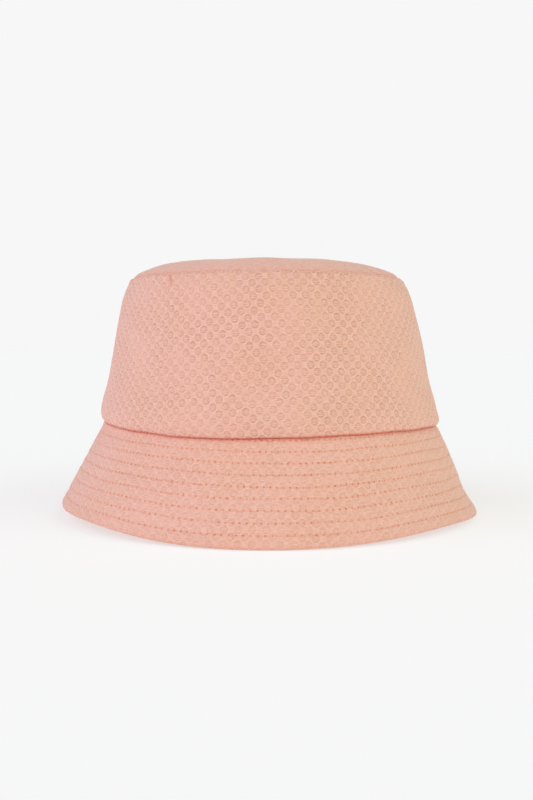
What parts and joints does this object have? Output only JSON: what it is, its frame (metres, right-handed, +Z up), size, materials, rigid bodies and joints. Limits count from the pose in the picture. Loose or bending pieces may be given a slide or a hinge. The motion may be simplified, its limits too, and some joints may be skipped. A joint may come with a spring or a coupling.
{
  "type": "bucket hat",
  "caption": "Soft bucket hat with a domed crown, a steep brim quilted in rings, a lining and a sweatband; the inside is open for a head.",
  "frame": {"origin": "middle of the hat, on the flat plane that the edge of the brim rests on", "axes": "+Z up through the crown; -Y the front of the hat and +Y its back; +X is the wearer's left"},
  "size_m": [0.234, 0.2528, 0.1423],
  "materials": {
    "outer_fabric": "matt jacquard with small ribbed round dimples, blush apricot",
    "lining": "plain woven lining, light apricot",
    "interlining": "stiff undyed non-woven",
    "sweatband": "ribbed woven band, soft sheen",
    "thread": "spun sewing thread",
    "label": "white satin ribbon, left blank"
  },
  "bodies": {
    "root": {"crown_tip": "outer_fabric", "crown_side_front": "outer_fabric", "crown_side_back": "outer_fabric", "brim_upper_front": "outer_fabric", "brim_upper_back": "outer_fabric", "brim_under_front": "outer_fabric", "brim_under_back": "outer_fabric", "brim_interlining": "interlining", "lining_tip": "lining", "lining_side_front": "lining", "lining_side_back": "lining", "sweatband": "sweatband", "size_label": "label", "care_label": "label", "tip_topstitch": "thread", "sweatband_stitch": "thread", "brim_stitch_row_1": "thread", "brim_stitch_row_2": "thread", "brim_stitch_row_3": "thread", "brim_stitch_row_4": "thread", "brim_stitch_row_5": "thread", "brim_stitch_row_6": "thread", "brim_stitch_row_7": "thread", "brim_stitch_row_8": "thread", "brim_stitch_row_9": "thread"}
  },
  "joints": []
}
